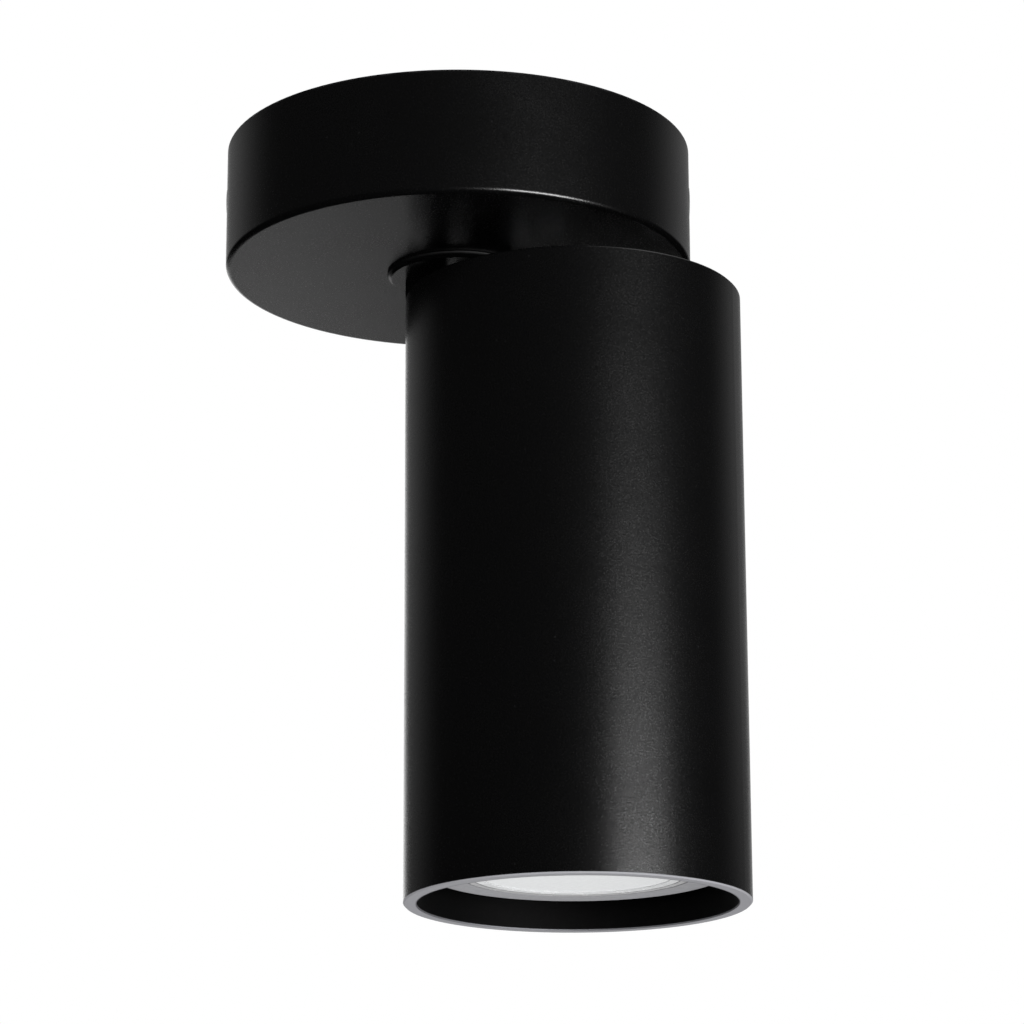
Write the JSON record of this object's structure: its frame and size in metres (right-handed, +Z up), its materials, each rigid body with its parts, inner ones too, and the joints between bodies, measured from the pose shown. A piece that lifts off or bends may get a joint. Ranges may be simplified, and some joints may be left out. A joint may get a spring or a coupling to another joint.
{
  "type": "surface mounted ceiling spotlight",
  "caption": "Black ceiling spotlight: round canopy, swivel disc with a tilting tongue, and an open tube with a recessed twist-lock reflector lamp.",
  "frame": {"origin": "centre of the face that lies on the ceiling", "axes": "+Z up into the ceiling, +X along the ceiling strap and its two screw slots; at rest the tube stands off at -20.6 degrees about +Z, as in the picture"},
  "size_m": [0.088, 0.08, 0.1323],
  "materials": {
    "black_powder_coat": "satin black powder coat with a fine grain",
    "black_tube_coat": "satin black powder coat over extruded aluminium",
    "black_steel": "blackened steel, slightly oily",
    "plated_steel": "bright zinc plate",
    "spring_steel": "dark spring steel",
    "nylon": "natural nylon",
    "white_plastic": "moulded, matt",
    "brass": "drawn brass",
    "tinned_copper": "tinned, pressed",
    "live_insulation": "brown insulation",
    "neutral_insulation": "blue insulation",
    "earth_insulation": "green and yellow insulation",
    "woven_sleeve": "black braided glass-fibre sleeve",
    "black_rubber": "matt silicone rubber",
    "glazed_ceramic": "steatite, lightly glazed",
    "lamp_grey": "light grey moulded housing",
    "lens_ring_white": "white, glossy",
    "frosted_lens": "frosted diffuser with a fine prism texture",
    "board_white": "white solder mask on aluminium",
    "led_phosphor": "phosphor under clear resin",
    "board_green": "green solder mask",
    "component_black": "moulded components",
    "nickel": "nickel plate"
  },
  "bodies": {
    "canopy": {"canopy_cup": "black_powder_coat", "ceiling_strap": "plated_steel", "canopy_screws": "black_steel", "pan_stop_pin": "plated_steel", "pan_friction_washer": "nylon", "terminal_block": "white_plastic", "terminal_sleeves": "brass", "terminal_clamp_screws": "plated_steel", "terminal_fixing_screws": "plated_steel", "earth_stud": "plated_steel", "earth_ring": "tinned_copper", "earth_nut": "plated_steel", "earth_lead": "earth_insulation", "canopy_lead_live": "live_insulation", "canopy_lead_neutral": "neutral_insulation", "canopy_lead_earth": "earth_insulation"},
    "swivel": {"swivel_arm": "black_powder_coat", "pan_stop_washer": "plated_steel", "pan_spring_washer": "spring_steel", "pan_nut": "plated_steel", "stem_sleeve": "woven_sleeve", "hinge_sleeve": "woven_sleeve"},
    "head": {"lamp_tube": "black_tube_coat", "top_cap": "black_powder_coat", "cap_grommet": "black_rubber", "hinge_bracket": "plated_steel", "hinge_bracket_screws": "plated_steel", "tilt_washers": "nylon", "tilt_screw": "black_steel", "tilt_spring_washer": "spring_steel", "tilt_nut": "plated_steel", "holder_bracket": "plated_steel", "holder_bracket_screws": "plated_steel", "lampholder": "glazed_ceramic", "lampholder_contacts": "brass", "lampholder_screws": "plated_steel", "head_earth_ring": "tinned_copper", "head_earth_screw": "plated_steel", "head_sleeve": "woven_sleeve", "head_lead_live": "live_insulation", "head_lead_neutral": "neutral_insulation", "head_lead_earth": "earth_insulation"},
    "lamp": {"lamp_housing": "lamp_grey", "lens_ring": "lens_ring_white", "lamp_lens": "frosted_lens", "led_board": "board_white", "leds": "led_phosphor", "driver_board": "board_green", "driver_parts": "component_black", "lamp_base": "white_plastic", "lamp_pins": "nickel"}
  },
  "joints": [
    {"name": "pan", "type": "hinge", "parent": "canopy", "child": "swivel", "pos_m": [0, 0, -0.0213], "axis": [0, 0, 1], "range_deg": [-165, 165], "deforming": ["canopy_lead_live", "canopy_lead_neutral", "canopy_lead_earth"]},
    {"name": "tilt", "type": "hinge", "parent": "swivel", "child": "head", "pos_m": [0, 0, -0.036], "axis": [0.3518, 0.9361, 0], "range_deg": [0, 90], "deforming": ["hinge_sleeve"]},
    {"name": "lamp_twist", "type": "hinge", "parent": "head", "child": "lamp", "pos_m": [0.01956, -0.00735, -0.1], "axis": [0, 0, -1], "range_deg": [0, 22]}
  ]
}
